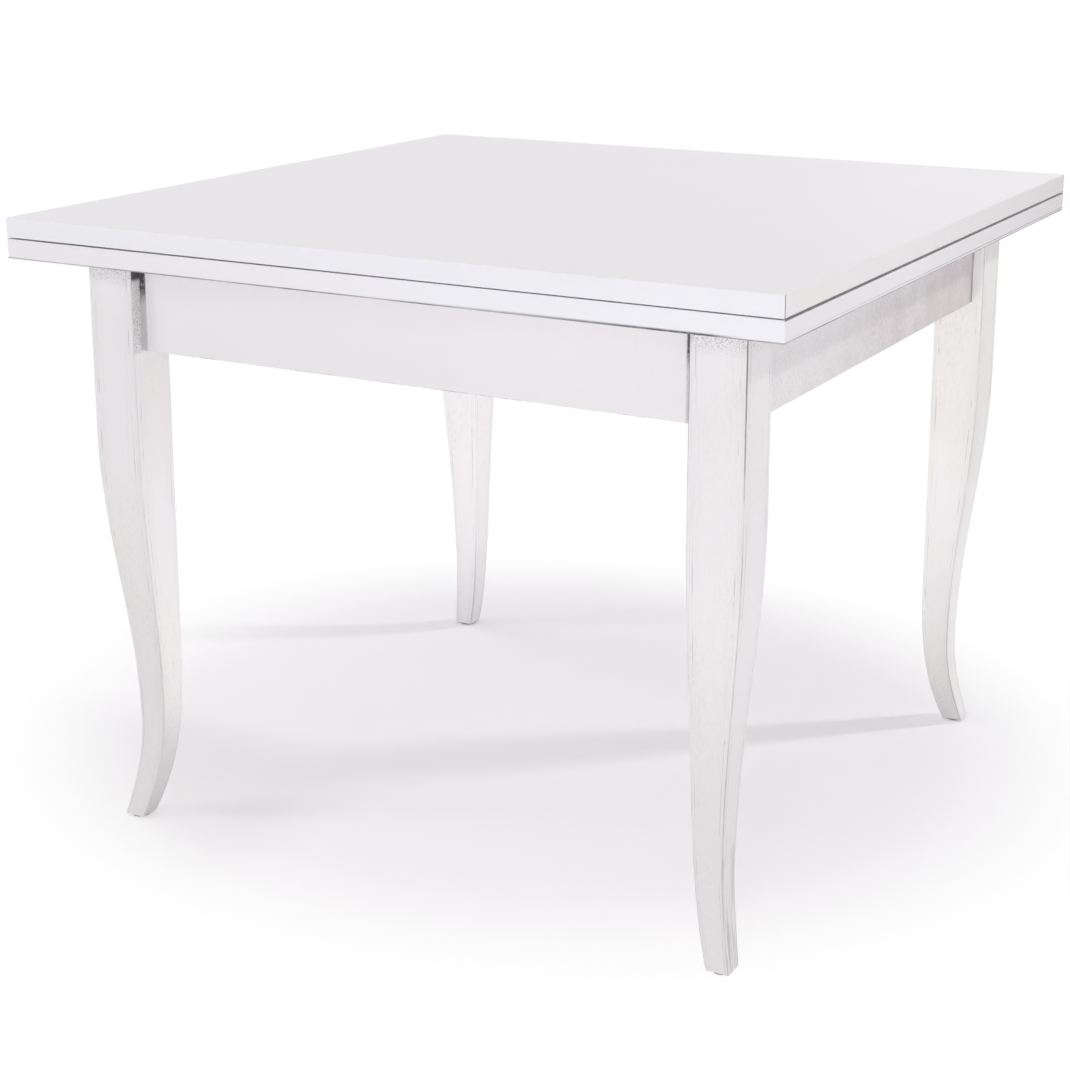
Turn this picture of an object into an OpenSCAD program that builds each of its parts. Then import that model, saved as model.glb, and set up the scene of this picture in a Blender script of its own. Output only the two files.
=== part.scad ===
// Flip-top table: two stacked square leaves, hinged like a book along one edge, on a four-legged frame.
// The pair slides half its width to the right, and the upper leaf then turns over to the left, which
// doubles the top. +X is to the right along the front, +Y to the back, +Z up. The origin is on the
// floor under the centre of the closed top. The hinged edge is the left one.

/* [Leaves] */
// Side of the square top
top_side = 1000; // [800:10:1200]
// Thickness of each leaf
leaf_thickness = 24; // [20:1:32]
// Gap between the stacked leaves, and between their edges when they lie open
leaf_gap = 1.4; // [0.8:0.1:1.6]
// Rounding of the leaves' outer edges
leaf_arris = 1.2; // [0.6:0.1:1.6]
// Rounding of the leaves' edges beside the gap
gap_arris = 0.4; // [0.2:0.1:1]

/* [Frame] */
// Height of the closed table
table_height = 785; // [720:1:820]
// Distance from the edge of the top to the outer face of the legs
top_overhang = 66; // [50:1:90]
// Height of the aprons
apron_height = 112; // [100:1:130]
// Thickness of the aprons
apron_thickness = 22; // [18:1:26]
// Distance from the outer face of the legs to that of the aprons
apron_setback = 15; // [8:1:20]
// Thickness of the glide strips on the end aprons
glide_thickness = 2.2; // [1.5:0.1:3]
// Width of the glide strips
glide_width = 18; // [12:1:18]
// Clearance between the glide strips and the sliding leaf
glide_clearance = 0.3; // [0.3:0.1:0.8]

/* [Legs] */
// Width of the square leg at its top
leg_width = 66; // [60:1:72]
// Height at which the outer faces start to curve in
curve_height = 520; // [460:5:580]
// Height of the slimmest point of the outer faces
ankle_height = 125; // [100:1:150]
// How far the outer faces curve in at the ankle
ankle_inset = 26.6; // [20:0.1:28]
// How far in the outer faces stand at the floor
foot_inset = 8; // [4:0.5:12]
// Height at which the inner faces start to curve out
inner_curve_height = 234; // [180:1:280]
// How far the inner faces curve out at the floor
foot_kick = 30; // [20:0.5:31]
// Thickness of the felt pads under the feet
foot_pad_thickness = 2.5; // [2:0.5:5]
// Wood left round a felt pad under the foot
foot_pad_margin = 3; // [1:0.5:5]

/* [Slide] */
// Distance from the corner brackets to the guide rails
rail_margin = 45; // [20:1:70]
// Width of a guide rail
rail_width = 32; // [28:1:36]
// Height of a guide rail
rail_height = 45; // [42:1:60]
// Distance from the top of a rail to its groove
groove_drop = 20; // [16:1:24]
// Height of the groove
groove_height = 12; // [10:0.5:14]
// Depth of the groove
groove_depth = 10; // [7:0.5:11]
// Width of a runner without its tongue
runner_width = 24; // [22:1:30]
// Wood of the runner below its tongue
runner_lip = 6; // [4:0.5:10]
// Clearance of the runner and its tongue in the rail
slide_clearance = 0.5; // [0.3:0.1:0.8]
// Thickness of the stop buffers
buffer_thickness = 2; // [1.5:0.1:4]
// Radius of the stop buffers
buffer_radius = 8; // [6:0.5:9]

/* [Hinges] */
// Distance from the front and back edges of the leaves to the outer hinges
hinge_margin = 150; // [60:5:250]
// Radius of the hinge knuckles
knuckle_radius = 2.5; // [2.2:0.1:3]
// Length of one of the five knuckles of a hinge
knuckle_length = 10; // [8:0.5:14]
// Clearance of a knuckle beside its neighbours and in the leaves
knuckle_clearance = 0.2; // [0.1:0.05:0.3]
// Radius of the hinge pins
pin_radius = 1.2; // [0.9:0.05:1.4]
// Radial clearance of a pin in the knuckles that turn on it
pin_clearance = 0.05; // [0.03:0.01:0.08]
// How far a hinge plate reaches in from its pin
plate_reach = 34; // [32:1:45]
// Thickness of a hinge plate
plate_thickness = 2; // [1.6:0.1:2.2]
// Radius of the two inner corners of a hinge plate
plate_corner = 5; // [2:0.5:12]

/* [Fasteners] */
// Radius of the hanger bolts that hold the legs
bolt_radius = 4; // [3:0.5:4]
// Distance between the two hanger bolts of a leg
bolt_spacing = 40; // [36:1:44]
// Depth of a hanger bolt in its leg
bolt_depth = 32; // [24:1:40]
// Thickness of the corner brackets
bracket_thickness = 2.5; // [2:0.1:3]
// Height of the corner brackets
bracket_height = 64; // [60:1:72]
// Length of a bracket's flange along its apron
bracket_flange = 34; // [30:1:38]
// Shank radius of the bracket screws
bracket_screw_radius = 2; // [1.5:0.1:2.4]
// Length of the bracket screws under the head
bracket_screw_length = 18; // [14:1:18]
// Shank radius of the runner screws
runner_screw_radius = 2.25; // [1.8:0.05:2.5]
// Depth of the runner screws in the leaf
runner_screw_depth = 14; // [10:1:16]
// Shank radius of the hinge screws
hinge_screw_radius = 1.6; // [1.3:0.1:1.8]
// Length of the hinge screws from the face of the plate
hinge_screw_length = 15; // [12:1:16]
// Radius of the dowels in the ends of the rails
dowel_radius = 4; // [3:0.5:4]
// Depth of a dowel in its apron
dowel_depth = 14; // [10:1:15]

/* [Hidden] */
$fn = 48;

// Heights
upper_leaf_low = table_height - leaf_thickness;
lower_leaf_high = upper_leaf_low - leaf_gap;
lower_leaf_low = lower_leaf_high - leaf_thickness;
leaf_middle = (upper_leaf_low + lower_leaf_high) / 2;
frame_high = lower_leaf_low - glide_clearance - glide_thickness;
apron_low = frame_high - apron_height;
apron_middle = frame_high - apron_height / 2;

// Places in plan, measured from the centre
half = top_side / 2;
leg_outer = half - top_overhang;
leg_inner = leg_outer - leg_width;
apron_outer = leg_outer - apron_setback;
apron_inner = apron_outer - apron_thickness;

// Corner brackets: distances along the diagonal, and where their flanges bend and end
diagonal = sqrt(2);
leg_flat = 14;
flat_distance = (2 * leg_inner + leg_flat) / diagonal;
bracket_gap = 8;
bracket_outer = flat_distance - bracket_gap;
bracket_inner = bracket_outer - bracket_thickness;
bracket_bend = bracket_outer * diagonal - apron_inner;
bracket_end = bracket_bend - bracket_flange;

// Slide: the runners meet the stop buffers at both ends of the travel
travel = top_side / 2;
stop_clearance = 0.5;
runner_low_end = -apron_inner + buffer_thickness + stop_clearance;
runner_length = 2 * (apron_inner - buffer_thickness - stop_clearance) - travel;
rail_outer = bracket_end - rail_margin;
rail_inner = rail_outer - rail_width;
groove_high = frame_high - groove_drop;
groove_low = groove_high - groove_height;
runner_outer = rail_inner - slide_clearance;
runner_inner = runner_outer - runner_width;
runner_middle = (runner_inner + runner_outer) / 2;
runner_bottom = groove_low + slide_clearance - runner_lip;
buffer_height = (runner_bottom + frame_high) / 2;

// Hinges: the pins lie in the middle of the gap, outside the edges by half of it, so that the gap is
// the same between the stacked leaves and between their edges when they lie open
pin_x = -half - leaf_gap / 2;
plate_face = -leaf_gap / 2;
lower_knuckles = [0, 2, 4];
upper_knuckles = [1, 3];
hinge_half = knuckle_length * (len(lower_knuckles) + len(upper_knuckles)) / 2;
mortise_clearance = 0.1;
hinge_places = [hinge_margin - half, 0, half - hinge_margin];
hinge_screw_near = 12;
hinge_screw_side = 9;
hinge_screw_far = 25;
hinge_screw_places =
    [[hinge_screw_near, -hinge_screw_side], [hinge_screw_near, hinge_screw_side], [hinge_screw_far, 0]];
countersink_land = 0.3;
countersink_depth = plate_thickness - countersink_land;

// Fasteners
fit = 0.02;
head_height = 2.5;
head_rim = 2;
recess_width = 0.9;
recess_depth = 1.4;
bracket_screw_place = bracket_bend - bracket_flange * 0.55;
bracket_screw_offset = 16;
bolt_hole_clearance = 0.5;
washer_thickness = 1.6;
washer_rim = 5;
nut_height = 6.5;
nut_flats = bolt_radius * 3.25;
bolt_end = 5;
dowel_rail_depth = 18;
dowel_tip = 1;
dowel_low = 9;
dowel_high = 11;
counterbore_depth = 12;
counterbore_radius = runner_screw_radius + head_rim + 1;
runner_screw_margin = 32;
leaf_pad_radius = 5;
leaf_pad_inset = 25;
leaf_pad_clearance = 0.3;
eps = 0.01;

// How far in from their straight line the outer faces of a leg stand at height z
function outer_inset(z) =
    z >= curve_height ? 0 :
    z >= ankle_height
        ? ankle_inset * (1 - cos(180 * (curve_height - z) / (curve_height - ankle_height))) / 2
        : ankle_inset
            - (ankle_inset - foot_inset) * (1 - cos(90 * (ankle_height - z) / ankle_height));

// How far out from their straight line the inner faces of a leg stand at height z
function inner_kick(z) =
    z >= inner_curve_height ? 0 : foot_kick * pow(1 - z / inner_curve_height, 3);

// Heights of the points along a curved face, from the foot up to where it is straight
curve_steps = 28;
function curve_heights(high) =
    [for (i = [0:curve_steps]) foot_pad_thickness + (high - foot_pad_thickness) * i / curve_steps];

// Points of an arc about a centre
arc_steps = 4;
function arc_points(centre, radius, from, to) =
    [for (i = [0:arc_steps]) centre + radius * [cos(from + (to - from) * i / arc_steps),
                                                sin(from + (to - from) * i / arc_steps)]];

// Rectangle from low to high with its two lower corners and its two upper ones rounded
function rounded_points(low, high, low_radius, high_radius) = concat(
    arc_points([low[0] + low_radius, low[1] + low_radius], low_radius, 180, 270),
    arc_points([high[0] - low_radius, low[1] + low_radius], low_radius, 270, 360),
    arc_points([high[0] - high_radius, high[1] - high_radius], high_radius, 0, 90),
    arc_points([low[0] + high_radius, high[1] - high_radius], high_radius, 90, 180));

// Turns a flat outline in X and Z, extruded along Y, or one in Y and Z, extruded along X
module along_y(length) rotate([90, 0, 0]) linear_extrude(length, center = true) children();
module along_x(length) rotate([90, 0, 90]) linear_extrude(length, center = true) children();

// Copies for the corners, the two sides and the hinges
module at_corners() {
    for (sx = [0, 1], sy = [0, 1]) mirror([sx, 0, 0]) mirror([0, sy, 0]) children();
}
module on_both_sides() {
    for (sy = [0, 1]) mirror([0, sy, 0]) children();
}
module at_hinges() {
    for (y = hinge_places) translate([pin_x, y, leaf_middle]) children();
}
// The upper half of a hinge is the lower one, mirrored in the middle of the gap between the leaves
module in_upper_leaf() translate([0, 0, 2 * leaf_middle]) mirror([0, 0, 1]) children();

// Points along the diagonal of the back right corner: +Z runs outwards from the centre of the table
module on_diagonal(distance, height) {
    translate([distance / diagonal, distance / diagonal, height]) rotate([0, 90, 45]) children();
}
module at_leg_bolts(distance) {
    for (s = [-1, 1]) on_diagonal(distance, apron_middle + s * bolt_spacing / 2) children();
}

// Places of the bracket screws on the inner face of the right apron, at the back: +Z runs outwards
module at_bracket_screws(x) {
    for (s = [-1, 1])
        translate([x, bracket_screw_place, apron_middle + s * bracket_screw_offset])
            rotate([0, 90, 0]) children();
}
// The same on the right apron and on the back one, which is its mirror image in the diagonal
module on_both_aprons() {
    children();
    mirror([1, -1, 0]) children();
}

// Screw along +Z with its head below zero
module pan_head_screw(radius, length) {
    difference() {
        union() {
            cylinder(h = length, r = radius);
            translate([0, 0, -head_height]) cylinder(h = head_height, r = radius + head_rim);
        }
        translate([0, 0, -head_height]) cross_recess(radius + head_rim);
    }
}
module cross_recess(radius) {
    for (a = [0, 90])
        rotate([0, 0, a]) cube([radius * 1.2, recess_width, 2 * recess_depth], center = true);
}

// Legs
module leg_outline() {
    outer = [for (z = curve_heights(curve_height)) [leg_outer - outer_inset(z), z]];
    inner = [for (z = curve_heights(inner_curve_height)) [leg_inner + inner_kick(z), z]];
    inner_down = [for (i = [curve_steps:-1:0]) inner[i]];
    polygon(concat(outer, [[leg_outer, frame_high], [leg_inner, frame_high]], inner_down));
}
module leg() {
    difference() {
        intersection() {
            translate([0, leg_outer - leg_width / 2, 0]) along_y(leg_width) leg_outline();
            translate([leg_outer - leg_width / 2, 0, 0]) along_x(leg_width) leg_outline();
        }
        // flat for the bracket across the inner corner
        translate([leg_inner, leg_inner, apron_low])
            rotate([0, 0, 45])
                translate([-leg_flat, -leg_flat * diagonal, 0])
                    cube([leg_flat + leg_flat / diagonal, 2 * leg_flat * diagonal, apron_height + 1]);
        at_leg_bolts(flat_distance - eps) cylinder(h = bolt_depth + 1, r = bolt_radius + fit);
    }
}
module leg_back_right() color("white") leg();
module leg_back_left() color("white") mirror([1, 0, 0]) leg();
module leg_front_right() color("white") mirror([0, 1, 0]) leg();
module leg_front_left() color("white") mirror([1, 0, 0]) mirror([0, 1, 0]) leg();

// Aprons
module bracket_screw_holes() {
    at_bracket_screws(apron_inner - eps)
        cylinder(h = bracket_screw_length, r = bracket_screw_radius + fit);
}
module end_apron() {
    difference() {
        translate([apron_inner, -leg_inner, apron_low])
            cube([apron_thickness, 2 * leg_inner, apron_height]);
        on_both_sides() {
            bracket_screw_holes();
            at_rail_dowels(apron_inner - eps) cylinder(h = dowel_depth + dowel_tip, r = dowel_radius + fit);
        }
    }
}
module side_apron() {
    difference() {
        translate([-leg_inner, apron_inner, apron_low])
            cube([2 * leg_inner, apron_thickness, apron_height]);
        for (sx = [0, 1]) mirror([sx, 0, 0]) mirror([1, -1, 0]) bracket_screw_holes();
    }
}
module apron_right() color("white") end_apron();
module apron_left() color("white") mirror([1, 0, 0]) end_apron();
module apron_back() color("white") side_apron();
module apron_front() color("white") mirror([0, 1, 0]) side_apron();

// Corner brackets and what holds them
module bracket_outline() {
    bend_shift = bracket_thickness * (diagonal - 1);
    flange_face = apron_inner - bracket_thickness;
    polygon([
        [apron_inner, bracket_end], [apron_inner, bracket_bend],
        [bracket_bend, apron_inner], [bracket_end, apron_inner],
        [bracket_end, flange_face], [bracket_bend - bend_shift, flange_face],
        [flange_face, bracket_bend - bend_shift], [flange_face, bracket_end],
    ]);
}
module corner_bracket() {
    difference() {
        translate([0, 0, apron_middle - bracket_height / 2])
            linear_extrude(bracket_height) bracket_outline();
        at_leg_bolts(bracket_inner - 1)
            cylinder(h = bracket_thickness + 2, r = bolt_radius + bolt_hole_clearance);
        on_both_aprons() at_bracket_screws(apron_inner - bracket_thickness - 1)
            cylinder(h = bracket_thickness + 2, r = bracket_screw_radius + fit);
    }
}
module corner_brackets() color("silver") at_corners() corner_bracket();
module bracket_screws() {
    color("silver") at_corners() on_both_aprons() at_bracket_screws(apron_inner - bracket_thickness)
        pan_head_screw(bracket_screw_radius, bracket_screw_length);
}
module hanger_bolts() {
    washer_and_nut = washer_thickness + nut_height;
    bolt_start = bracket_inner - washer_and_nut - bolt_end;
    color("silver") at_corners() at_leg_bolts(bolt_start)
        cylinder(h = flat_distance + bolt_depth - bolt_start, r = bolt_radius);
}
module leg_washers() {
    color("silver") at_corners() at_leg_bolts(bracket_inner - washer_thickness) difference() {
        cylinder(h = washer_thickness, r = bolt_radius + washer_rim);
        translate([0, 0, -1]) cylinder(h = washer_thickness + 2, r = bolt_radius + bolt_hole_clearance);
    }
}
module leg_nuts() {
    color("silver") at_corners() at_leg_bolts(bracket_inner - washer_thickness - nut_height) difference() {
        cylinder(h = nut_height, r = nut_flats / sqrt(3), $fn = 6);
        translate([0, 0, -1]) cylinder(h = nut_height + 2, r = bolt_radius + fit);
    }
}

// Guide rails across the frame, each with a groove in its inner face
module at_rail_dowels(x) {
    dowel_y = (rail_inner + groove_depth + rail_outer) / 2;
    for (z = [frame_high - rail_height + dowel_low, frame_high - dowel_high])
        translate([x, dowel_y, z]) rotate([0, 90, 0]) children();
}
module guide_rail() {
    difference() {
        translate([-apron_inner, rail_inner, frame_high - rail_height])
            cube([2 * apron_inner, rail_width, rail_height]);
        translate([-apron_inner - 1, rail_inner - 1, groove_low])
            cube([2 * apron_inner + 2, groove_depth + 1, groove_height]);
        for (sx = [0, 1]) mirror([sx, 0, 0])
            at_rail_dowels(apron_inner - dowel_rail_depth - dowel_tip)
                cylinder(h = dowel_rail_depth + dowel_tip + eps, r = dowel_radius + fit);
    }
}
module guide_rail_back() color("wheat") guide_rail();
module guide_rail_front() color("wheat") mirror([0, 1, 0]) guide_rail();
module rail_dowels() {
    color("tan") at_corners() at_rail_dowels(apron_inner - dowel_rail_depth)
        cylinder(h = dowel_rail_depth + dowel_depth, r = dowel_radius);
}
module glide_strips() {
    color("whitesmoke") for (sx = [0, 1]) mirror([sx, 0, 0])
        translate([apron_outer - glide_width, -leg_inner, frame_high])
            cube([glide_width, 2 * leg_inner, glide_thickness]);
}
module stop_buffers() {
    color("dimgray") at_corners()
        translate([apron_inner - buffer_thickness, runner_middle, buffer_height])
            rotate([0, 90, 0]) cylinder(h = buffer_thickness, r = buffer_radius);
}
module foot_pads() {
    foot_outer = leg_outer - outer_inset(foot_pad_thickness);
    foot_inner = leg_inner + inner_kick(foot_pad_thickness);
    middle = (foot_outer + foot_inner) / 2;
    color("dimgray") at_corners() translate([middle, middle, 0])
        cylinder(h = foot_pad_thickness, r = (foot_outer - foot_inner) / 2 - foot_pad_margin);
}

// Leaves, with every edge rounded. This is the lower one, whose upper edges lie beside the gap
module board() {
    edge = rounded_points([-half, lower_leaf_low], [half, lower_leaf_high], leaf_arris, gap_arris);
    intersection() {
        translate([0, 0, lower_leaf_low]) linear_extrude(leaf_thickness)
            polygon(rounded_points([-half, -half], [half, half], leaf_arris, leaf_arris));
        along_x(top_side + 2) polygon(edge);
        along_y(top_side + 2) polygon(edge);
    }
}
// What the lower leaf loses to one hinge, about its pin
module hinge_mortise() {
    grow = mortise_clearance;
    translate([0, 0, plate_face - plate_thickness - grow])
        linear_extrude(plate_thickness + grow + leaf_gap) plate_outline(grow);
    about_pin(knuckle_radius + knuckle_clearance, hinge_half + grow);
    for (p = hinge_screw_places)
        translate([p[0], p[1], plate_face - hinge_screw_length - 1])
            cylinder(h = hinge_screw_length, r = hinge_screw_radius + fit);
}
module leaf_with_mortises() {
    difference() {
        board();
        at_hinges() hinge_mortise();
    }
}
module upper_leaf() color("white") in_upper_leaf() leaf_with_mortises();
module at_runner_screws(z) {
    first = runner_low_end + runner_screw_margin;
    last = runner_low_end + runner_length - runner_screw_margin;
    for (x = [first, (first + last) / 2, last]) translate([x, runner_middle, z]) children();
}
module lower_leaf() {
    color("white") difference() {
        leaf_with_mortises();
        on_both_sides() at_runner_screws(lower_leaf_low - eps)
            cylinder(h = runner_screw_depth + 1, r = runner_screw_radius + fit);
    }
}
module leaf_pads() {
    corner = half - leaf_pad_inset;
    color("lightgray") on_both_sides() for (x = [0, corner])
        translate([x, corner, lower_leaf_high])
            cylinder(h = leaf_gap - leaf_pad_clearance, r = leaf_pad_radius);
}

// Runners under the lower leaf, each with a tongue in its rail's groove
module runner_outline() {
    tongue_end = rail_inner + groove_depth - slide_clearance;
    tongue_low = groove_low + slide_clearance;
    tongue_high = groove_high - slide_clearance;
    polygon([
        [runner_inner, runner_bottom], [runner_outer, runner_bottom],
        [runner_outer, tongue_low], [tongue_end, tongue_low],
        [tongue_end, tongue_high], [runner_outer, tongue_high],
        [runner_outer, lower_leaf_low], [runner_inner, lower_leaf_low],
    ]);
}
module runner() {
    difference() {
        translate([runner_low_end + runner_length / 2, 0, 0]) along_x(runner_length) runner_outline();
        at_runner_screws(runner_bottom - 1) cylinder(h = counterbore_depth + 1, r = counterbore_radius);
        at_runner_screws(runner_bottom) cylinder(h = leaf_thickness * 2, r = runner_screw_radius + fit);
    }
}
module runner_back() color("wheat") runner();
module runner_front() color("wheat") mirror([0, 1, 0]) runner();
module runner_screws() {
    head = runner_bottom + counterbore_depth;
    color("silver") on_both_sides() at_runner_screws(head)
        pan_head_screw(runner_screw_radius, lower_leaf_low + runner_screw_depth - head);
}

// Butt hinges let in flush: the lower plates hold three knuckles and the pin, the upper ones two
module plate_outline(grow) {
    reach = plate_reach + grow;
    side = hinge_half + grow;
    corner = plate_corner + grow;
    polygon(concat(
        [[0, -side]],
        arc_points([reach - corner, -side + corner], corner, -90, 0),
        arc_points([reach - corner, side - corner], corner, 0, 90),
        [[0, side]]));
}
module about_pin(radius, half_length) {
    rotate([90, 0, 0]) cylinder(h = 2 * half_length, r = radius, center = true);
}
module at_knuckles(which) {
    for (k = which) translate([0, (k + 0.5) * knuckle_length - hinge_half, 0]) children();
}
module hinge_screw_shape(grow) {
    cone = countersink_depth;
    for (p = hinge_screw_places) translate([p[0], p[1], plate_face]) {
        translate([0, 0, -cone])
            cylinder(h = cone, r1 = hinge_screw_radius + grow, r2 = hinge_screw_radius + cone + grow);
        translate([0, 0, -hinge_screw_length])
            cylinder(h = hinge_screw_length - cone + eps, r = hinge_screw_radius + grow);
    }
}
module hinge_plate(own, others, hole_radius) {
    notch = knuckle_radius + knuckle_clearance;
    difference() {
        union() {
            difference() {
                translate([0, 0, plate_face - plate_thickness])
                    linear_extrude(plate_thickness) plate_outline(0);
                at_knuckles(others)
                    cube([2 * notch, knuckle_length + knuckle_clearance, 4 * notch], center = true);
            }
            at_knuckles(own) about_pin(knuckle_radius, (knuckle_length - knuckle_clearance) / 2);
        }
        about_pin(hole_radius, hinge_half + 1);
        hinge_screw_shape(fit);
    }
}
module hinge_screw() {
    difference() {
        hinge_screw_shape(0);
        for (p = hinge_screw_places)
            translate([p[0], p[1], plate_face]) cross_recess(hinge_screw_radius + countersink_depth);
    }
}
module hinge_plates_lower() {
    color("goldenrod") at_hinges() hinge_plate(lower_knuckles, upper_knuckles, pin_radius + fit);
}
module hinge_plates_upper() {
    color("goldenrod") in_upper_leaf() at_hinges()
        hinge_plate(upper_knuckles, lower_knuckles, pin_radius + pin_clearance);
}
module hinge_pins() color("darkgoldenrod") at_hinges() about_pin(pin_radius, hinge_half);
module hinge_screws_lower() color("goldenrod") at_hinges() hinge_screw();
module hinge_screws_upper() color("goldenrod") in_upper_leaf() at_hinges() hinge_screw();

leg_front_left();
leg_front_right();
leg_back_left();
leg_back_right();
apron_front();
apron_back();
apron_left();
apron_right();
corner_brackets();
bracket_screws();
hanger_bolts();
leg_washers();
leg_nuts();
guide_rail_front();
guide_rail_back();
rail_dowels();
glide_strips();
stop_buffers();
foot_pads();
lower_leaf();
runner_front();
runner_back();
runner_screws();
leaf_pads();
hinge_plates_lower();
hinge_pins();
hinge_screws_lower();
upper_leaf();
hinge_plates_upper();
hinge_screws_upper();
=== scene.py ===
from math import cos, pi, radians, sin

import bmesh
import bpy
from mathutils import Matrix, Vector


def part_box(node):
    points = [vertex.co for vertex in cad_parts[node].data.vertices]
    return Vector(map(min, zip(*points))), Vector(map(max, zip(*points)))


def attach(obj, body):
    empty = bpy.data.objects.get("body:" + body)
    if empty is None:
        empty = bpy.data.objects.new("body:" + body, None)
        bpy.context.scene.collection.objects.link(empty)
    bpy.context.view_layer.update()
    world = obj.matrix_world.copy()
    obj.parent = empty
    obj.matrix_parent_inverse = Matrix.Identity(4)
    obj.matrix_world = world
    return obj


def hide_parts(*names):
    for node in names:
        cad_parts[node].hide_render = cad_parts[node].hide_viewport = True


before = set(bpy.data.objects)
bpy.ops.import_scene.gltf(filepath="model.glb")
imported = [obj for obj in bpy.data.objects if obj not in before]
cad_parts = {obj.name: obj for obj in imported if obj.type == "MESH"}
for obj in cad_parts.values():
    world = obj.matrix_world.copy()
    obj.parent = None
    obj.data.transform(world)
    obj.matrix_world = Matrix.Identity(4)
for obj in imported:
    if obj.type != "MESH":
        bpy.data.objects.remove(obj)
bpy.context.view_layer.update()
scene = bpy.context.scene
scene.view_settings.view_transform = "Standard"


# Legs: four square sabre legs of solid open-pored wood, sprayed with white satin lacquer. Each is sawn
# to the same curve on both outer faces, planed, and eased along its arrises, where the lacquer is
# rubbed dark. The inner corner has a flat at the height of the aprons, for the corner bracket.
curve_height = 0.520
ankle_height = 0.125
ankle_inset = 0.0266
foot_inset = 0.008
inner_curve_height = 0.234
foot_kick = 0.030
leg_flat = 0.014
leg_arris = 0.0022
sole_arris = 0.0012
curve_steps = 44
flat_shading_angle = radians(8)

leg_low, leg_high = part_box("leg_back_right")
apron_low, apron_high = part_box("apron_back")
leg_heights = [leg_low.z + (curve_height - leg_low.z) * i / curve_steps for i in range(curve_steps + 1)]
leg_heights += [apron_low.z, leg_high.z]

lacquer_white = (0.835, 0.820, 0.830)
yellowed_white = (0.815, 0.815, 0.785)
# Painted light: the white that lightens a leg's shaded parts.
painted_light_white = (0.945, 0.940, 0.925)
# Grey of the pores and streaks, of the legs' greying at the foot, and of the painted shade on the leaves'
# ends.
pore_and_shade_grey = (0.600, 0.585, 0.590)
# Grey of rubbed wear, and of painted shade at the legs' joints, under the leaf, beside the leaves' gap and
# at the aprons' ends.
rubbed_and_shade_grey = (0.040, 0.038, 0.040)
lacquer_relief = 0.00004
scratch_place = 0.76
joint_grit_below = 0.004
# Heights below the aprons' top where the painted shade at a leg's joint and under the leaf starts and is
# full.
joint_shade_start, joint_shade_full = 0.028, 0.022
leaf_shade_start, leaf_shade_full = 0.034, 0.010
# Heights where the painted light on a shaded leg's front face starts and is full.
painted_light_start, painted_light_full = 0.070, 0.030


class NodeTree:
    """The nodes of a material or a world. Its methods add nodes and give back what they put out."""

    def __init__(self, owner):
        owner.use_nodes = True
        self.owner = owner
        self.nodes = owner.node_tree.nodes
        self.links = owner.node_tree.links

    def feed(self, socket, value):
        """Gives a socket a number, a colour or another node's output."""
        if isinstance(value, float):
            socket.default_value = value
        elif isinstance(value, tuple):
            socket.default_value = (*value, 1.0)
        else:
            self.links.new(value, socket)

    def place(self):
        return self.nodes.new("ShaderNodeTexCoord").outputs["Object"]

    def attribute(self, name, output="Fac"):
        reader = self.nodes.new("ShaderNodeAttribute")
        reader.attribute_name = name
        return reader.outputs[output]

    def axes(self, vector):
        """The three numbers of a vector."""
        separate = self.nodes.new("ShaderNodeSeparateXYZ")
        self.links.new(vector, separate.inputs[0])
        return separate.outputs[:]

    def noise(self, scale, detail, roughness=0.5, distortion=0.0, place=None):
        """Noise on the object's own coordinates, or on a place given, scaled along X, Y and Z."""
        mapping = self.nodes.new("ShaderNodeMapping")
        mapping.inputs["Scale"].default_value = scale
        self.links.new(place or self.place(), mapping.inputs["Vector"])
        noise = self.nodes.new("ShaderNodeTexNoise")
        noise.inputs["Scale"].default_value = 1.0
        noise.inputs["Detail"].default_value = detail
        noise.inputs["Roughness"].default_value = roughness
        noise.inputs["Distortion"].default_value = distortion
        self.links.new(mapping.outputs["Vector"], noise.inputs["Vector"])
        return noise.outputs["Fac"]

    def math(self, operation, *values):
        """Result of an operation on numbers or other nodes' outputs."""
        math = self.nodes.new("ShaderNodeMath")
        math.operation = operation
        for socket, value in zip(math.inputs, values):
            self.feed(socket, value)
        return math.outputs[0]

    def product(self, first, *others):
        for value in others:
            first = self.math("MULTIPLY", first, value)
        return first

    def greatest(self, first, *others):
        for value in others:
            first = self.math("MAXIMUM", first, value)
        return first

    def graded(self, value, from_low, from_high, to_low, to_high):
        """Value, spread from one range onto another and held inside it."""
        grade = self.nodes.new("ShaderNodeMapRange")
        self.feed(grade.inputs["Value"], value)
        self.feed(grade.inputs["From Min"], from_low)
        self.feed(grade.inputs["From Max"], from_high)
        self.feed(grade.inputs["To Min"], to_low)
        self.feed(grade.inputs["To Max"], to_high)
        return grade.outputs["Result"]

    def blended(self, amount, first, second):
        """Colour between first and second, each a colour or another node's output."""
        mix = self.nodes.new("ShaderNodeMix")
        mix.data_type = "RGBA"
        self.feed(mix.inputs["Factor"], amount)
        self.feed(mix.inputs[6], first)
        self.feed(mix.inputs[7], second)
        return mix.outputs[2]

    def coat(self, colour, roughness, relief=None, depth=0.0):
        """Gives the surface its colour, its roughness and, where it has one, a relief so deep."""
        shader = self.nodes["Principled BSDF"]
        self.feed(shader.inputs["Base Color"], colour)
        self.feed(shader.inputs["Roughness"], roughness)
        if relief is not None:
            bump = self.nodes.new("ShaderNodeBump")
            bump.inputs["Strength"].default_value = 1.0
            bump.inputs["Distance"].default_value = depth
            self.links.new(relief, bump.inputs["Height"])
            self.links.new(bump.outputs["Normal"], shader.inputs["Normal"])


def material_tree(name):
    return NodeTree(bpy.data.materials.new(name))


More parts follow.
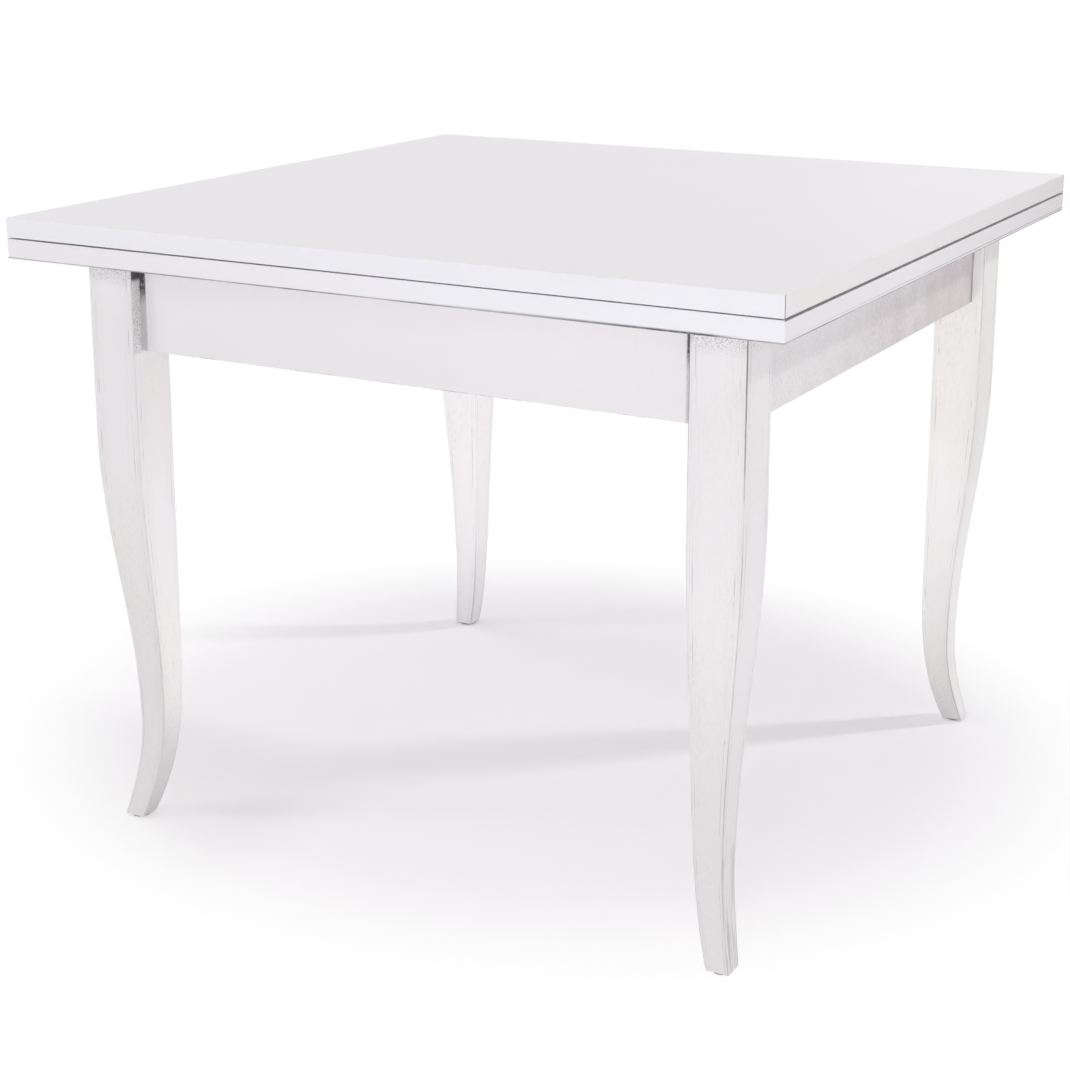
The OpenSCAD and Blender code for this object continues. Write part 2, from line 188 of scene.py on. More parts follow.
def leg_joint_shade_and_grit(tree, height, across_x):
    """Painted shade, darkest under the leaf, and grit beside the front or back apron, and grit with painted
    shade right under the leaf.
    """
    grit = tree.noise((900.0, 900.0, 700.0), 2.0, 0.5)
    joint = tree.product(tree.graded(across_x, -0.97, -0.99, 0.0, 1.0),
                         tree.graded(height, apron_low.z - joint_grit_below, apron_low.z, 0.0, 1.0))
    # Painted shade at the top of the joint, under the leaf.
    joint_top_shade = tree.product(joint, tree.graded(height, apron_high.z - joint_shade_start,
                                                apron_high.z - joint_shade_full, 0.0, 0.95))
    joint_side = tree.product(joint, tree.graded(grit, 0.50, 0.62, 0.02, 0.60))
    grit_and_shade_under_leaf = tree.product(tree.graded(height, apron_high.z - leaf_shade_start,
                                          apron_high.z - leaf_shade_full, 0.0, 1.0),
                              tree.graded(grit, 0.48, 0.62, 0.0, 0.55))
    return tree.greatest(joint_top_shade, joint_side, grit_and_shade_under_leaf)


def leg_arris_wear(tree, section, height, across_y, to_arris, wear):
    """Dark broken lines along the arrises, and a fainter scratch beside each."""
    rubbing = tree.noise((2.0, 2.0, 16.0), 3.0, 0.6, 0.0, section)
    from_scratch = tree.math("ABSOLUTE", tree.math("SUBTRACT", to_arris, scratch_place))
    scratch = tree.product(tree.graded(from_scratch, 0.008, 0.020, 1.0, 0.0),
                           tree.graded(rubbing, 0.50, 0.58, 0.0, 0.35))
    upper = tree.graded(height, curve_height, apron_high.z, 0.0, 1.0)
    lower = tree.product(tree.graded(height, ankle_height * 2, ankle_height, 0.0, 0.8),
                         tree.graded(across_y, -0.5, -0.7, 0.0, 1.0))
    line = tree.math("ADD", tree.math("ADD", upper, lower), tree.graded(rubbing, 0.35, 0.65, 0.05, 0.50))
    line = tree.math("MINIMUM", tree.product(line, wear), 0.96)
    from_arris = tree.product(tree.math("SUBTRACT", 1.0, to_arris), tree.attribute("half_width"))
    line = tree.product(line, tree.graded(from_arris, leg_arris / 3, leg_arris * 0.8, 1.0, 0.0))
    return tree.greatest(line, scratch)


def leg_foot_wear(tree, section, height, across_x, wear):
    """Fine scratches on the outer side of the foot."""
    fine_lines = tree.noise((1.0, 9.0, 14.0), 3.0, 0.6, 0.0, section)
    return tree.product(tree.graded(across_x, 0.9, 0.97, 0.0, 1.0),
                        tree.graded(height, ankle_height * 1.3, ankle_height, 0.0, 1.0),
                        wear, tree.graded(fine_lines, 0.50, 0.62, 0.0, 0.35))


def leg_lacquer():
    """Lacquer over fine pores and upright streaks, which follow the legs' curve, with painted shade and
    grit at the joints and under the leaf. How much wear and yellowing it has, how much greyer it grows at
    the foot, and how far painted light lightens its shaded parts come from attributes, because each leg
    differs."""
    tree = material_tree("white lacquer on the legs")
    section = tree.attribute("section", "Vector")
    wear = tree.attribute("wear")
    yellowing, front_greying, side_greying = tree.axes(tree.attribute("tone", "Vector"))
    height = tree.axes(tree.place())[2]
    across_x, across_y, _ = tree.axes(section)
    aside, ahead = tree.math("ABSOLUTE", across_x), tree.math("ABSOLUTE", across_y)
    to_arris = tree.math("MINIMUM", aside, ahead)
    on_side = tree.math("GREATER_THAN", aside, ahead)
    on_front = tree.math("SUBTRACT", 1.0, on_side)

    clouds = tree.noise((14.0, 14.0, 5.0), 3.0, 0.5)
    yellowed = tree.product(yellowing, tree.graded(clouds, 0.40, 0.60, 0.0, 1.0))
    colour = tree.blended(yellowed, lacquer_white, yellowed_white)
    # Painted light lightens a shaded leg's upper front face and its sides near the foot.
    at_top = tree.product(tree.graded(across_y, -0.90, -0.97, 0.0, 1.0),
                          tree.graded(height, curve_height - painted_light_start,
                                      apron_low.z + painted_light_full, 0.0, 0.9))
    at_foot = tree.product(on_side, tree.graded(height, ankle_height * 3.2, ankle_height * 1.9, 0.0, 0.7))
    painted_light_amount = tree.product(tree.attribute("painted_light"), tree.greatest(at_top, at_foot))
    colour = tree.blended(painted_light_amount, colour, painted_light_white)

    speckle = tree.noise((420.0, 420.0, 150.0), 3.0, 0.6)
    pores = tree.product(tree.graded(speckle, 0.48, 0.70, 0.0, 0.30),
                         tree.graded(clouds, 0.42, 0.62, 0.15, 1.0))
    # Greyer towards the foot, by each leg's own amounts on its front and side faces.
    greying = tree.math("ADD", tree.product(on_side, side_greying), tree.product(on_front, front_greying))
    foot = tree.product(greying, tree.graded(height, ankle_height * 3.2, ankle_height * 1.6, 0.0, 1.0))
    colour = tree.blended(tree.math("ADD", pores, foot), colour, pore_and_shade_grey)

    streaks = tree.noise((26.0, 26.0, 7.0), 4.0, 0.65, 0.0, section)
    streaks = tree.product(tree.graded(streaks, 0.46, 0.68, 0.0, 1.0),
                           tree.graded(to_arris, 0.30, 0.92, 0.08, 0.55),
                           tree.graded(height, ankle_height, leg_low.z, 1.0, 1.7),
                           tree.graded(painted_light_amount, 0.0, 1.0, 1.0, 0.4))
    colour = tree.blended(streaks, colour, pore_and_shade_grey)
    # Rubbed arrises and scratches, with painted shade and grit at the joints and under the leaf.
    wear_and_shade = tree.greatest(leg_arris_wear(tree, section, height, across_y, to_arris, wear),
                           leg_joint_shade_and_grit(tree, height, across_x),
                           leg_foot_wear(tree, section, height, across_x, wear))
    tree.coat(tree.blended(wear_and_shade, colour, rubbed_and_shade_grey), tree.graded(speckle, 0.3, 0.7, 0.36, 0.48),
              speckle, lacquer_relief)
    return tree.owner


def outer_inset(height):
    if height >= curve_height:
        return 0.0
    if height >= ankle_height:
        return ankle_inset * (1 - cos(pi * (curve_height - height) / (curve_height - ankle_height))) / 2
    turn = cos(pi / 2 * (ankle_height - height) / ankle_height)
    return ankle_inset - (ankle_inset - foot_inset) * (1 - turn)


def inner_kick(height):
    if height >= inner_curve_height:
        return 0.0
    return foot_kick * (1 - height / inner_curve_height) ** 3


def leg_faces(height):
    """Where the inner and the outer faces of the back right leg are at a height, along X or Y."""
    return leg_low.x + inner_kick(height), leg_high.x - outer_inset(height)


def set_leg_ring(corners, height):
    inner, outer = leg_faces(height)
    middle_x = sum(v.co.x for v in corners) / len(corners)
    middle_y = sum(v.co.y for v in corners) / len(corners)
    for v in corners:
        v.co = (outer if v.co.x > middle_x else inner, outer if v.co.y > middle_y else inner, height)


def cut_edges(bm, edges, offset, segments):
    bmesh.ops.bevel(bm, geom=edges, offset=offset, offset_type="OFFSET", segments=segments,
                    profile=0.5, affect="EDGES", material=-1)


def leg_mesh(side_x, side_y, wear, painted_light, tone):
    """A leg shaped as the back right one and mirrored to its own corner, with what its lacquer reads.
    A shift gives each leg its own stretch of the grain."""
    bm = bmesh.new()
    section = bm.verts.layers.float_vector.new("section")
    tone_layer = bm.verts.layers.float_vector.new("tone")
    wear_layer = bm.verts.layers.float.new("wear")
    painted_light_layer = bm.verts.layers.float.new("painted_light")
    half_width = bm.verts.layers.float.new("half_width")
    ring = bmesh.ops.create_grid(bm, x_segments=1, y_segments=1, size=1.0)["verts"]
    set_leg_ring(ring, leg_heights[0])
    end = bm.faces[:] + bm.edges[:] + bm.verts[:]
    for height in leg_heights[1:]:
        end = bmesh.ops.extrude_face_region(bm, geom=end)["geom"]
        set_leg_ring([g for g in end if isinstance(g, bmesh.types.BMVert)], height)
    bmesh.ops.recalc_face_normals(bm, faces=bm.faces)

    cut_edges(bm, [e for e in bm.edges if min(v.co.z for v in e.verts) > apron_low.z - sole_arris
                   and max(v.co.x + v.co.y for v in e.verts) < 2 * leg_low.x + sole_arris], leg_flat, 1)
    cut_edges(bm, [e for e in bm.edges if abs(e.verts[0].co.z - e.verts[1].co.z) > sole_arris],
              leg_arris, 4)
    cut_edges(bm, [e for e in bm.edges if max(v.co.z for v in e.verts) < leg_low.z + sole_arris / 10],
              sole_arris, 2)
    grain_shift = side_x + 2 * side_y
    for v in bm.verts:
        inner, outer = leg_faces(v.co.z)
        across = [(2 * place - inner - outer) / (outer - inner) for place in v.co.xy]
        v[section] = (*across, v.co.z + grain_shift)
        v[half_width] = (outer - inner) / 2
        v[wear_layer] = wear
        v[painted_light_layer] = painted_light
        v[tone_layer] = tone
    bmesh.ops.scale(bm, vec=(side_x, side_y, 1), verts=bm.verts)
    bmesh.ops.recalc_face_normals(bm, faces=bm.faces)
    return bm


def new_object(name, mesh_data, material):
    mesh = bpy.data.meshes.new(name)
    mesh_data.to_mesh(mesh)
    mesh_data.free()
    mesh.shade_smooth()
    mesh.set_sharp_from_angle(angle=flat_shading_angle)
    mesh.materials.append(material)
    piece = bpy.data.objects.new(name, mesh)
    scene.collection.objects.link(piece)
    return piece


# A leg's tone is how far it has yellowed, and how much greyer its front and side faces grow at the foot.
# Its painted light lightens the upper front face and the sides near the foot of a leg that stands in shade.
leg_finish = leg_lacquer()
for place, side_x, side_y, wear, painted_light, tone in (
        ("front_left", -1, -1, 0.35, 0.0, (0.75, 0.25, 0.42)),
        ("front_right", 1, -1, 1.0, 0.0, (0.50, 0.36, 0.30)),
        ("back_left", -1, 1, 0.35, 0.0, (0.0, 0.12, 0.22)),
        ("back_right", 1, 1, 0.4, 1.0, (1.6, 0.52, 0.02))):
    leg = new_object("sabre_leg_" + place, leg_mesh(side_x, side_y, wear, painted_light, tone), leg_finish)
    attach(leg, "frame")
    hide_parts("leg_" + place)


# Aprons: four boards of the same wood between the legs, set back from their outer faces, lacquered
# with them. Their long edges are eased, and a painted shadow darkens their ends, which butt against
# the legs, most under the leaf. Painted shade makes the end aprons greyer and more blotched towards
# the back and the bottom.
# Grey of the aprons' mottling, and of the painted shade on the end aprons.
rosy_shade_grey = (0.615, 0.570, 0.572)
apron_arris = 0.0012
end_shade_start, end_shade_full = 0.010, 0.008
end_shade_top = 0.035
end_shade_fade = 0.020
back_shade_start, back_shade_full = 0.045, 0.030


def apron_mesh(node, length_axis):
    low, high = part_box(node)
    bm = bmesh.new()
    size = Matrix.Diagonal((*(high - low), 1.0))
    bmesh.ops.create_cube(bm, size=1.0, matrix=Matrix.Translation((low + high) / 2) @ size)
    cut_edges(bm, [e for e in bm.edges
                   if abs(e.verts[0].co[length_axis] - e.verts[1].co[length_axis]) > apron_arris],
              apron_arris, 3)
    return bm


def apron_lacquer(name, length_axis):
    """Lacquer over a fine upright mottling, with painted shade on the end aprons, a painted shadow at each
    end, darkest under the leaf, and a fine line below.
    """
    tree = material_tree(name)
    place = tree.axes(tree.place())
    speckle = tree.noise((420.0, 420.0, 190.0), 3.0, 0.6)
    clouds = tree.noise((9.0, 9.0, 4.0), 3.0, 0.5)
    mottle_and_shade = tree.product(tree.graded(speckle, 0.42, 0.70, 0.0, 0.50),
                          tree.graded(clouds, 0.40, 0.65, 0.15, 1.0))
    if length_axis == 1:
        # Painted shade: the end aprons grow greyer and more blotched towards the back and the bottom.
        blotches = tree.noise((24.0, 24.0, 24.0), 3.0, 0.6)
        back_shade = tree.product(tree.graded(place[1], apron_low.x, apron_high.x * 0.6, 0.0, 1.0),
                              tree.graded(speckle, 0.30, 0.70, 0.46, 0.88),
                              tree.graded(place[2], apron_high.z - back_shade_start,
                                          apron_low.z + back_shade_full, 0.95, 1.5),
                              tree.graded(blotches, 0.35, 0.65, 0.70, 1.25))
        mottle_and_shade = tree.math("ADD", mottle_and_shade, back_shade)
    else:
        mottle_and_shade = tree.product(mottle_and_shade, 0.15)

    length = tree.math("ABSOLUTE", place[length_axis])
    darkest = apron_high.z - end_shade_top
    # Painted shadow on each end beside the leg, darkest under the leaf.
    joint = tree.product(tree.graded(length, apron_high.x - end_shade_start,
                                     apron_high.x - end_shade_full, 0.0, 1.0),
                         tree.graded(place[2], darkest - end_shade_fade, darkest, 0.35, 0.97),
                         tree.graded(speckle, 0.3, 0.5, 0.6, 1.0))
    rubbing = tree.noise((30.0, 30.0, 30.0), 4.0, 0.7)
    edge = tree.product(tree.graded(place[2], apron_low.z + apron_arris, apron_low.z + apron_arris / 2,
                                    0.0, 1.0),
                        tree.graded(rubbing, 0.45, 0.65, 0.05, 0.7))

    colour = tree.blended(mottle_and_shade, lacquer_white, rosy_shade_grey)
    colour = tree.blended(joint, colour, rubbed_and_shade_grey)
    tree.coat(tree.blended(edge, colour, rubbed_and_shade_grey), tree.graded(speckle, 0.3, 0.7, 0.36, 0.48),
              speckle, lacquer_relief)
    return tree.owner


apron_finishes = [apron_lacquer("white lacquer on the front and back aprons", 0),
                  apron_lacquer("white lacquer on the end aprons", 1)]
for side, length_axis in (("front", 0), ("back", 0), ("left", 1), ("right", 1)):
    apron = new_object("apron_board_" + side, apron_mesh("apron_" + side, length_axis),
                       apron_finishes[length_axis])
    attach(apron, "frame")
    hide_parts("apron_" + side)


# Corner brackets with their screws, and the hanger bolts, washers and nuts that draw the legs in:
# folded and turned steel with a bright zinc plating, which is faintly cloudy.
bright_zinc = (0.56, 0.57, 0.585)
pale_zinc = (0.68, 0.69, 0.69)
rolled_relief = 0.00001


def zinc_plating():
    tree = material_tree("bright zinc plating")
    tree.nodes["Principled BSDF"].inputs["Metallic"].default_value = 1.0
    clouds = tree.noise((60.0, 60.0, 60.0), 5.0, 0.6)
    rolled = tree.noise((300.0, 300.0, 2600.0), 2.0)
    colour = tree.blended(tree.graded(clouds, 0.35, 0.65, 0.0, 1.0), bright_zinc, pale_zinc)
    tree.coat(colour, tree.graded(clouds, 0.35, 0.65, 0.24, 0.38), rolled, rolled_relief)
    return tree.owner


def give_finish(material, *node_names):
    for name in node_names:
        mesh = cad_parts[name].data
        mesh.materials.clear()
        mesh.materials.append(material)


give_finish(zinc_plating(), "corner_brackets", "bracket_screws", "hanger_bolts", "leg_washers",
            "leg_nuts", "runner_screws")


# Guide rails with their dowels, and the runners that slide in them: planed beech, with a clear
# sealer. The rails are doweled between the end aprons, and the runners screwed under the lower leaf.
pale_beech = (0.640, 0.430, 0.250)
brown_beech = (0.560, 0.350, 0.190)
fleck_brown = (0.380, 0.210, 0.110)
fleck_relief = 0.00005


def planed_beech():
    tree = material_tree("planed beech")
    growth = tree.noise((1.6, 46.0, 46.0), 4.0, 0.55, 0.5)
    flecks = tree.noise((55.0, 620.0, 620.0), 2.0, 0.5)
    colour = tree.blended(tree.graded(growth, 0.32, 0.68, 0.0, 1.0), pale_beech, brown_beech)
    colour = tree.blended(tree.graded(flecks, 0.60, 0.75, 0.0, 0.55), colour, fleck_brown)
    tree.coat(colour, tree.graded(growth, 0.3, 0.7, 0.50, 0.62), flecks, fleck_relief)
    return tree.owner


give_finish(planed_beech(), "guide_rail_front", "guide_rail_back", "rail_dowels",
            "runner_front", "runner_back")


# Glide strips on the end aprons, which carry the leaf as it slides: white low-friction plastic,
# with faint lines drawn along it by the extruder, glued down.
glide_white = (0.87, 0.87, 0.875)
glide_grey = (0.83, 0.83, 0.835)
glide_ior = 1.5
drawn_relief = 0.00001


def glide_plastic():
    tree = material_tree("white glide plastic")
    tree.nodes["Principled BSDF"].inputs["IOR"].default_value = glide_ior
    drawn = tree.noise((1500.0, 3.0, 1500.0), 2.0)
    tree.coat(tree.blended(drawn, glide_white, glide_grey), tree.graded(drawn, 0.3, 0.7, 0.42, 0.54),
              drawn, drawn_relief)
    return tree.owner


give_finish(glide_plastic(), "glide_strips")


# Stop buffers, which the runners meet at both ends of the slide: round pads of black rubber, glued
# to the inner faces of the end aprons.
rubber_black = (0.035, 0.035, 0.036)
rubber_bloom = (0.075, 0.074, 0.072)
rubber_relief = 0.00004


def black_rubber():
    tree = material_tree("black rubber")
    skin = tree.noise((1200.0, 1200.0, 1200.0), 4.0, 0.7)
    tree.coat(tree.blended(skin, rubber_black, rubber_bloom), tree.graded(skin, 0.3, 0.7, 0.62, 0.84),
              skin, rubber_relief)
    return tree.owner


give_finish(black_rubber(), "stop_buffers")


# Felt pads under the feet: pressed grey wool felt with a fibrous face, stuck on.
dark_fibre = (0.150, 0.145, 0.140)
pale_fibre = (0.340, 0.330, 0.320)
felt_roughness = 0.95
felt_sheen = 0.4
felt_relief = 0.0003


def grey_felt():
    tree = material_tree("pressed grey felt")
    tree.nodes["Principled BSDF"].inputs["Sheen Weight"].default_value = felt_sheen
    fibres = tree.noise((2200.0, 2200.0, 900.0), 6.0, 0.75, 1.2)
    colour = tree.blended(tree.graded(fibres, 0.3, 0.7, 0.0, 1.0), dark_fibre, pale_fibre)
    tree.coat(colour, felt_roughness, fibres, felt_relief)
    return tree.owner


give_finish(grey_felt(), "foot_pads")


# Leaves: two square boards, veneered and lipped, filled to a smooth white satin lacquer. The lower
# one carries the runners and slides, and the upper one turns over on the hinges. The lacquer is rubbed
# dark at the upper one's corners. Painted shade darkens it beside the gap and along the lower one's
# bottom edge, deepest where it is a painted shadow over the right legs, and greys the ends towards the
# back, and painted light makes the front and back edges lighter and bluer.
leaf_white = (0.845, 0.815, 0.848)
leaf_pale_white = (0.855, 0.828, 0.858)
# Painted light: a lighter, bluer white for the leaves' front and back edges.
painted_cool_light = (0.852, 0.850, 0.884)
warm_white = (0.848, 0.834, 0.808)
edge_band_width = 0.0009
# Widths of the painted shade beside the gap, at the front and on the ends.
front_gap_shade = 0.0003
end_gap_shade = 0.0013
# Depths of the painted shade along the lower leaf's bottom edge and of the painted shadow over the right
# legs, and how far that shadow reaches either side of a leg.
bottom_shade_depth = 0.0022
leg_shadow_depth = 0.0034
leg_shadow_inner, leg_shadow_outer = 0.010, 0.020
lipping_line = 0.0042
line_half = 0.0006
gap_shade_from, gap_shade_to = -0.4, 0.1
lipping_line_from, lipping_line_to = -0.5, 0.1
cool_light_from, cool_light_to = -0.25, 0.1
end_grain_shade_from = -0.1
sprayed_relief = 0.00001


def within_edge(tree, place, edge, depth):
    """One within depth of an edge, zero further off."""
    apart = tree.math("ABSOLUTE", tree.math("SUBTRACT", place, edge))
    return tree.graded(apart, depth / 2, depth, 1.0, 0.0)


def gap_shade_lines(tree, x, height, at_front, at_ends, gap):
    """Painted shade in lines beside the gap, on the left half of the front and all along the ends."""
    front = tree.product(at_front, within_edge(tree, height, gap, front_gap_shade),
                         tree.graded(x, gap_shade_from, gap_shade_to, 1.0, 0.0))
    ends = tree.product(at_ends, within_edge(tree, height, gap, end_gap_shade))
    return tree.greatest(front, ends)


def underside_shade(tree, x, y, height, at_front, at_ends, patches, leaf_low):
    """Painted shade along the bottom edge, deepened by a painted shadow over the right legs, and the line
    of the lipping on the ends.
    """
    bottom = tree.product(tree.greatest(at_ends, at_front),
                          within_edge(tree, height, leaf_low.z, bottom_shade_depth),
                          tree.graded(patches, 0.35, 0.60, 0.55, 1.0))
    over_leg = tree.product(at_front, within_edge(tree, height, leaf_low.z, leg_shadow_depth),
                            tree.graded(x, 0.0, leg_low.x, 0.0, 1.0),
                            tree.graded(x, leg_high.x - leg_shadow_inner, leg_high.x + leg_shadow_outer,
                                        1.0, 0.0))
    line = tree.product(at_ends, within_edge(tree, height, leaf_low.z + lipping_line, line_half),
                        tree.graded(y, lipping_line_from, lipping_line_to, 0.05, 0.7))
    return tree.greatest(bottom, over_leg, line)


def leaf_lacquer(name):
    """Lacquer with painted light that makes the front and back edges lighter and bluer, painted shade and
    grain that grey the ends towards the back, and on the upper leaf's ends warmer patches."""
    leaf_low, leaf_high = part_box(name)
    upper = name == "upper_leaf"
    tree = material_tree(name)
    x, y, height = tree.axes(tree.place())
    at_ends, at_front = (within_edge(tree, tree.math("ABSOLUTE", side), leaf_high.y, edge_band_width)
                         for side in (x, y))
    drift = tree.noise((5.0, 5.0, 5.0), 3.0, 0.5)
    patches = tree.noise((9.0, 9.0, 9.0), 2.0, 0.5)
    rubbing = tree.noise((45.0, 45.0, 45.0), 4.0, 0.7)
    fine = tree.noise((420.0, 420.0, 420.0), 3.0, 0.6)
    sprayed = tree.noise((260.0, 260.0, 260.0), 2.0)

    colour = tree.blended(tree.graded(drift, 0.3, 0.7, 0.0, 1.0), leaf_white, leaf_pale_white)
    # Painted shade in lines beside the gap.
    worn_and_shaded = gap_shade_lines(tree, x, height, at_front, at_ends, leaf_low.z if upper else leaf_high.z)
    if upper:
        warm = tree.product(at_ends, tree.graded(patches, 0.38, 0.60, 0.35, 1.0))
        # Painted light makes the upper leaf's front and back edges lighter and bluer.
        colour = tree.blended(at_front, colour, painted_cool_light)
        colour = tree.blended(warm, colour, warm_white)
        worn_and_shaded = tree.greatest(worn_and_shaded, tree.product(at_ends, at_front))
    else:
        # Painted light makes the lower leaf's front and back edges lighter and bluer, most towards the
        # right.
        cool = tree.product(at_front, tree.graded(x, cool_light_from, cool_light_to, 0.1, 1.0))
        colour = tree.blended(cool, colour, painted_cool_light)
        # Painted shade along the lower leaf's bottom edge, with a painted shadow over the right legs.
        worn_and_shaded = tree.greatest(worn_and_shaded, underside_shade(tree, x, y, height, at_front, at_ends, patches, leaf_low))
    # Grain on the ends, with painted shade that greys them towards the back.
    end_grain_and_shade = tree.product(at_ends, tree.graded(fine, 0.40, 0.62, 0.5, 1.0),
                              tree.graded(y, end_grain_shade_from, leaf_high.y, 0.14, 1.0))
    colour = tree.blended(end_grain_and_shade, colour, pore_and_shade_grey)
    worn_and_shaded = tree.product(worn_and_shaded, tree.graded(rubbing, 0.3, 0.5, 0.7, 0.95))
    tree.coat(tree.blended(worn_and_shaded, colour, rubbed_and_shade_grey), tree.graded(drift, 0.3, 0.7, 0.34, 0.42),
              sprayed, sprayed_relief)
    return tree.owner


for leaf_name in ("lower_leaf", "upper_leaf"):
    give_finish(leaf_lacquer(leaf_name), leaf_name)


# Pads that keep the leaves apart: small discs of milky soft plastic, stuck on the lower leaf.
milk_blue = (0.76, 0.77, 0.77)
milk_white = (0.83, 0.83, 0.82)
milk_depth = 0.002
milk_share = 0.3


def milky_plastic():
    tree = material_tree("milky soft plastic")
    shader = tree.nodes["Principled BSDF"]
    shader.inputs["Subsurface Weight"].default_value = milk_share
    shader.inputs["Subsurface Scale"].default_value = milk_depth
    haze = tree.noise((400.0, 400.0, 400.0), 3.0)
    tree.coat(tree.blended(haze, milk_blue, milk_white), tree.graded(haze, 0.3, 0.7, 0.40, 0.55))
    return tree.owner


give_finish(milky_plastic(), "leaf_pads")


# Hinges: three butt hinges of satin brass, let in flush along the left edge, with their pins and
# countersunk screws. The plates are brushed along the edge.
bright_brass = (0.780, 0.600, 0.300)
tarnished_brass = (0.640, 0.470, 0.210)
brushed_relief = 0.00001


def satin_brass():
    tree = material_tree("satin brass")
    tree.nodes["Principled BSDF"].inputs["Metallic"].default_value = 1.0
    brushed = tree.noise((2200.0, 60.0, 2200.0), 3.0, 0.6)
    tarnish = tree.noise((90.0, 90.0, 90.0), 4.0, 0.6)
    colour = tree.blended(tree.graded(tarnish, 0.4, 0.7, 0.0, 1.0), bright_brass, tarnished_brass)
    tree.coat(colour, tree.graded(brushed, 0.3, 0.7, 0.26, 0.42), brushed, brushed_relief)
    return tree.owner


give_finish(satin_brass(), "hinge_plates_lower", "hinge_plates_upper", "hinge_pins",
            "hinge_screws_lower", "hinge_screws_upper")


# Floor: a plain white studio sweep, which shows the table's soft shadows and fades to pure white
# round it. A glow that only the camera and reflections see makes up the white.
floor_half = 40.0
floor_tint = (0.890, 0.874, 0.900)
floor_glow = 0.080
fade_middle = (-0.10, 0.12)
fade_reach = (0.72, 0.66)
fade_start, fade_end = 0.70, 1.15


def seen_directly(tree):
    """One for what the camera, a reflection or a clear thing shows, zero for what lights the table."""
    path = tree.nodes.new("ShaderNodeLightPath")
    return tree.greatest(path.outputs["Is Camera Ray"], path.outputs["Is Glossy Ray"],
                         path.outputs["Is Transmission Ray"])


def studio_floor():
    tree = material_tree("studio floor")
    tree.nodes.remove(tree.nodes["Principled BSDF"])
    seen = seen_directly(tree)
    diffuse = tree.nodes.new("ShaderNodeBsdfDiffuse")
    tree.feed(diffuse.inputs["Color"], floor_tint)
    glow = tree.nodes.new("ShaderNodeEmission")
    tree.feed(glow.inputs["Strength"], tree.product(seen, floor_glow))
    shaded = tree.nodes.new("ShaderNodeAddShader")
    tree.feed(shaded.inputs[0], diffuse.outputs[0])
    tree.feed(shaded.inputs[1], glow.outputs[0])

    mapping = tree.nodes.new("ShaderNodeMapping")
    mapping.inputs["Scale"].default_value = (1 / fade_reach[0], 1 / fade_reach[1], 1.0)
    mapping.inputs["Location"].default_value = (-fade_middle[0] / fade_reach[0],
                                                -fade_middle[1] / fade_reach[1], 0.0)
    tree.feed(mapping.inputs["Vector"], tree.place())
    distance = tree.nodes.new("ShaderNodeVectorMath")
    distance.operation = "LENGTH"
    tree.feed(distance.inputs[0], mapping.outputs["Vector"])
    far = tree.graded(distance.outputs["Value"], fade_start, fade_end, 0.0, 1.0)
    far.node.interpolation_type = "SMOOTHSTEP"
    white = tree.nodes.new("ShaderNodeEmission")
    tree.feed(white.inputs["Strength"], 1.0)
    faded = tree.nodes.new("ShaderNodeMixShader")
    tree.feed(faded.inputs[0], tree.product(seen, far))
    tree.feed(faded.inputs[1], shaded.outputs[0])
    tree.feed(faded.inputs[2], white.outputs[0])
    tree.feed(tree.nodes["Material Output"].inputs["Surface"], faded.outputs[0])
    return tree.owner


floor = bmesh.new()
bmesh.ops.create_grid(floor, x_segments=1, y_segments=1, size=floor_half)
new_object("studio_floor", floor, studio_floor())


# Light: a pale room round the table. The strongest of the soft lamps stand overhead, to the left and,
# small enough to draw the legs' long shadows, at the back right. Weaker ones fill the other sides,
# and a panel that lies on the floor fills the shade under the top.
room_light = 0.52
aim = Vector((0.0, 0.0, 0.45))

room = NodeTree(bpy.data.worlds.new("white room"))
room_background = room.nodes["Background"]
room.feed(room_background.inputs["Color"], (1.0, 1.0, 1.0))
room.feed(room_background.inputs["Strength"], room.graded(seen_directly(room), 0.0, 1.0, room_light, 1.0))
scene.world = room.owner


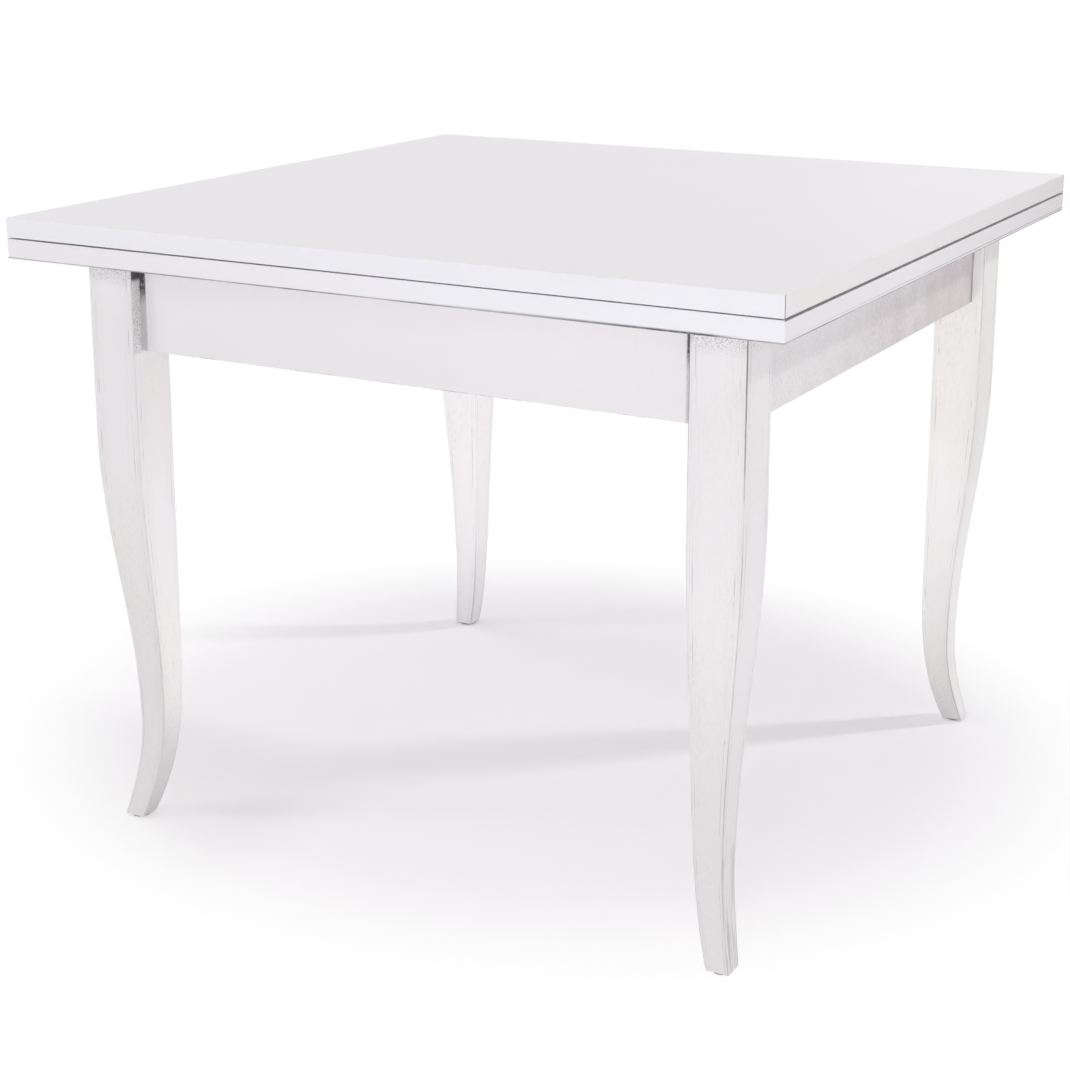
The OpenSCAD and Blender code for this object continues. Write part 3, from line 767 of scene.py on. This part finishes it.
def soft_lamp(name, towards, rise, distance, size, power):
    """Square lamp that stands in a direction given in plan, so many degrees above the aim."""
    lamp = bpy.data.lights.new(name, "AREA")
    lamp.energy = power
    lamp.size = size
    level = Vector((*towards, 0.0)).normalized()
    back = level * cos(radians(rise)) + Vector((0.0, 0.0, sin(radians(rise))))
    holder = bpy.data.objects.new(name, lamp)
    holder.visible_camera = False
    holder.location = aim + back * distance
    holder.rotation_mode = "QUATERNION"
    holder.rotation_quaternion = back.to_track_quat("Z", "Y")
    scene.collection.objects.link(holder)


soft_lamp("back_right_lamp", (0.75, 0.66), 33.0, 4.0, 0.25, 32.0)
soft_lamp("back_lamp", (0.1, 1.0), 12.0, 3.0, 2.0, 1.6)
soft_lamp("left_lamp", (-1.0, 0.1), 10.0, 3.0, 1.5, 16.2)
soft_lamp("front_left_lamp", (-0.83, -0.555), 14.0, 4.0, 1.0, 24.0)
soft_lamp("near_front_left_lamp", (-0.47, -0.88), 16.0, 4.0, 0.8, 2.4)
soft_lamp("high_front_lamp", (0.1, -1.0), 60.0, 3.2, 0.9, 4.2)
soft_lamp("camera_side_lamp", (0.40, -0.92), 0.0, 2.6, 0.6, 11.5)
soft_lamp("low_right_lamp", (1.0, -0.25), -5.0, 2.2, 0.5, 3.4)
soft_lamp("overhead_lamp", (0.0, -0.1), 85.0, 4.0, 3.0, 26.0)
soft_lamp("floor_panel", (1.0, 0.0), -90.0, 0.43, 0.5, 2.2)


# Camera: where the photographer stood, in front of the table's right corner.
camera_place = Vector((1.2347, -2.3127, 1.1605))
camera_turn = radians(29.156)
camera_drop = radians(13.466)
camera_sensor = 36.0
camera_lens = 69.04
camera_shift = -0.14

camera = bpy.data.cameras.new("camera")
camera.sensor_width = camera_sensor
camera.lens = camera_lens
camera.shift_y = camera_shift
camera_holder = bpy.data.objects.new("camera", camera)
camera_holder.location = camera_place
camera_holder.rotation_euler = (pi / 2 - camera_drop, 0.0, camera_turn)
scene.collection.objects.link(camera_holder)
scene.camera = camera_holder
